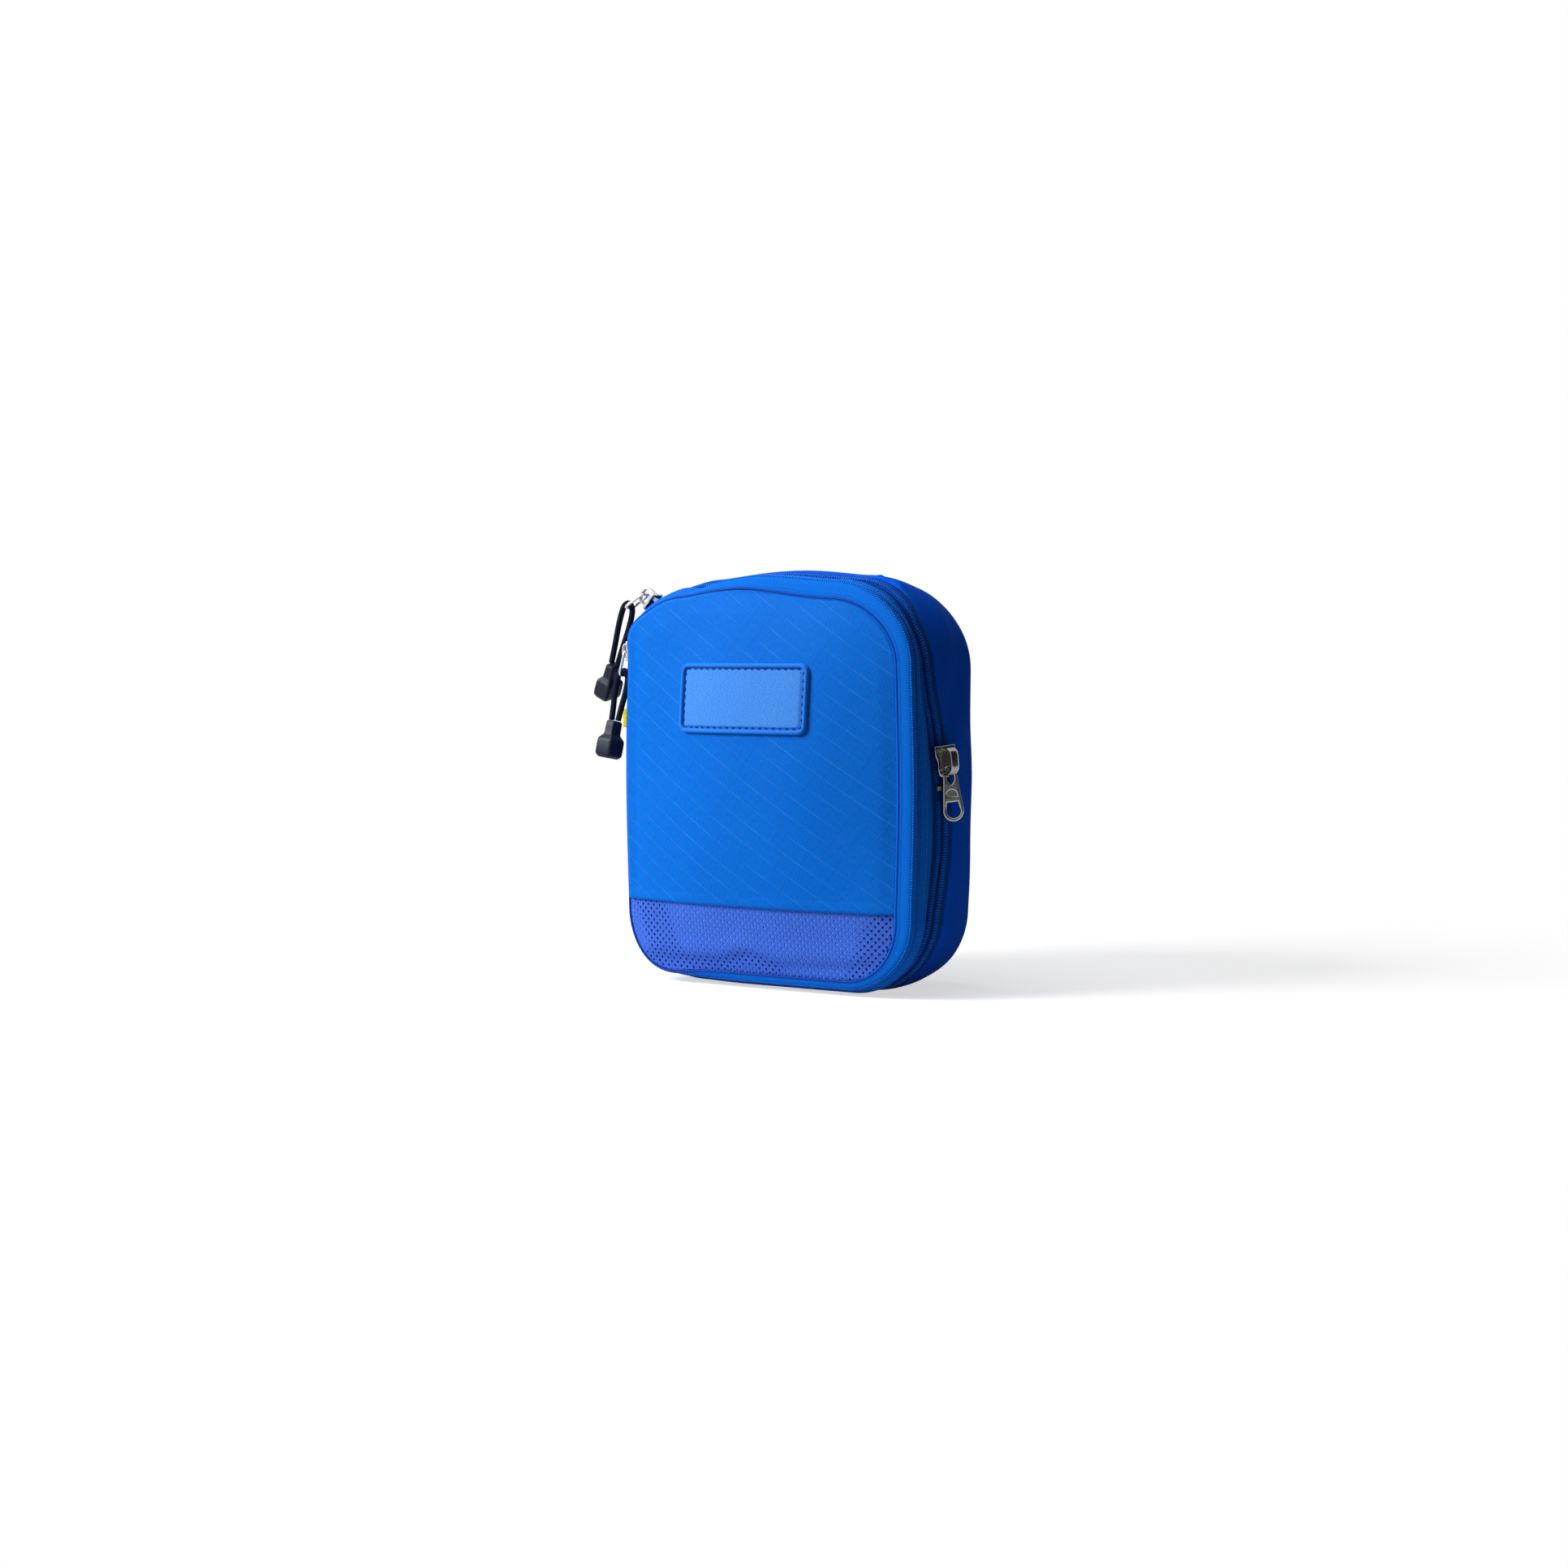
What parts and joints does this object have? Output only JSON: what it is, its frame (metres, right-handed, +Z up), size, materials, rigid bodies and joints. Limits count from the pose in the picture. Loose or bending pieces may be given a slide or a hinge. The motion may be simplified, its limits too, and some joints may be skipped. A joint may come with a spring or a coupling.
{
  "type": "packing cube",
  "caption": "Soft stuffed packing cube with a zipped front lid on a fabric fold, a mesh strip, a blank patch and a compression zipper that holds an expansion pleat shut",
  "frame": {"origin": "on the ground under the middle of the standing cube, measured without the pull cords and grips", "axes": "+Z up along the cube's height, -Y out of its front lid, +X to the right seen from the front"},
  "size_m": [0.2152, 0.0938, 0.218],
  "materials": {
    "ripstop": "thin ripstop weave with a slight sheen",
    "mesh": "knitted mesh with small staggered holes",
    "tape": "herringbone zipper tape",
    "coil": "moulded nylon coil",
    "lining": "plain coated weave",
    "patch": "satin-stitched field",
    "nickel": "bright nickel plate",
    "gunmetal": "polished dark plating",
    "cord": "braided cord",
    "grip": "moulded matt rubber",
    "ribbon": "woven ribbon"
  },
  "bodies": {
    "rear_shell": {"rear_gusset": "lining", "back_panel": "lining", "back_seam_binding": "lining", "compression_zip_rear_tape": "tape", "compression_zip_rear_coil": "coil", "expansion_pleat": "lining"},
    "front_frame": {"front_zip_body_tape": "tape", "front_zip_body_coil": "coil", "front_seam_binding": "lining", "compression_zip_front_tape": "tape", "compression_zip_front_coil": "coil", "compression_zip_stop": "nickel", "front_panel_hinge_edge": "ripstop", "mesh_panel_hinge_edge": "mesh", "front_zip_lid_tape_end": "tape", "side_ribbon_tab": "ribbon"},
    "front_lid": {"front_panel": "ripstop", "mesh_panel": "mesh", "label_patch": "patch", "label_patch_border": "tape", "front_zip_lid_tape": "tape", "front_zip_lid_coil": "coil"},
    "upper_slider": {"upper_slider": "nickel"},
    "upper_pull": {"upper_pull_bail": "nickel", "upper_pull_cord": "cord", "upper_pull_grip": "grip"},
    "lower_slider": {"lower_slider": "nickel"},
    "lower_pull": {"lower_pull_bail": "nickel", "lower_pull_cord": "cord", "lower_pull_grip": "grip"},
    "compression_slider": {"compression_slider": "gunmetal"},
    "compression_pull": {"compression_pull_tab": "gunmetal"}
  },
  "joints": [
    {"name": "expansion", "type": "slide", "parent": "rear_shell", "child": "front_frame", "axis": [0, -1, 0], "range_m": [0, 0.025], "deforming": ["expansion_pleat"]},
    {"name": "lid_fold", "type": "hinge", "parent": "front_frame", "child": "front_lid", "pos_m": [-0.068, -0.03656, 0.1075], "axis": [0, 0, -1], "range_deg": [0, 150]},
    {"name": "upper_slider_travel", "type": "hinge", "parent": "front_frame", "child": "upper_slider", "pos_m": [-0.0525, -0.023, 0.179], "axis": [0, -1, 0], "range_deg": [-36, 0]},
    {"name": "upper_pull_swing", "type": "hinge", "parent": "upper_slider", "child": "upper_pull", "pos_m": [-0.08029, -0.023, 0.20679], "axis": [0, 1, 0], "range_deg": [0, 60]},
    {"name": "lower_slider_travel", "type": "slide", "parent": "front_frame", "child": "lower_slider", "axis": [0.0351, 0, 0.9994], "range_m": [-0.02, 0]},
    {"name": "lower_pull_swing", "type": "hinge", "parent": "lower_slider", "child": "lower_pull", "pos_m": [-0.09192, -0.023, 0.17614], "axis": [0, 1, 0], "range_deg": [0, 45]},
    {"name": "compression_slider_travel", "type": "slide", "parent": "rear_shell", "child": "compression_slider", "axis": [-0.0218, -0.0871, 0.996], "range_m": [0, 0.025]},
    {"name": "compression_pull_swing", "type": "hinge", "parent": "compression_slider", "child": "compression_pull", "pos_m": [0.09309, -0.00343, 0.1204], "axis": [0, -0.9962, -0.0872], "range_deg": [0, 150]}
  ]
}
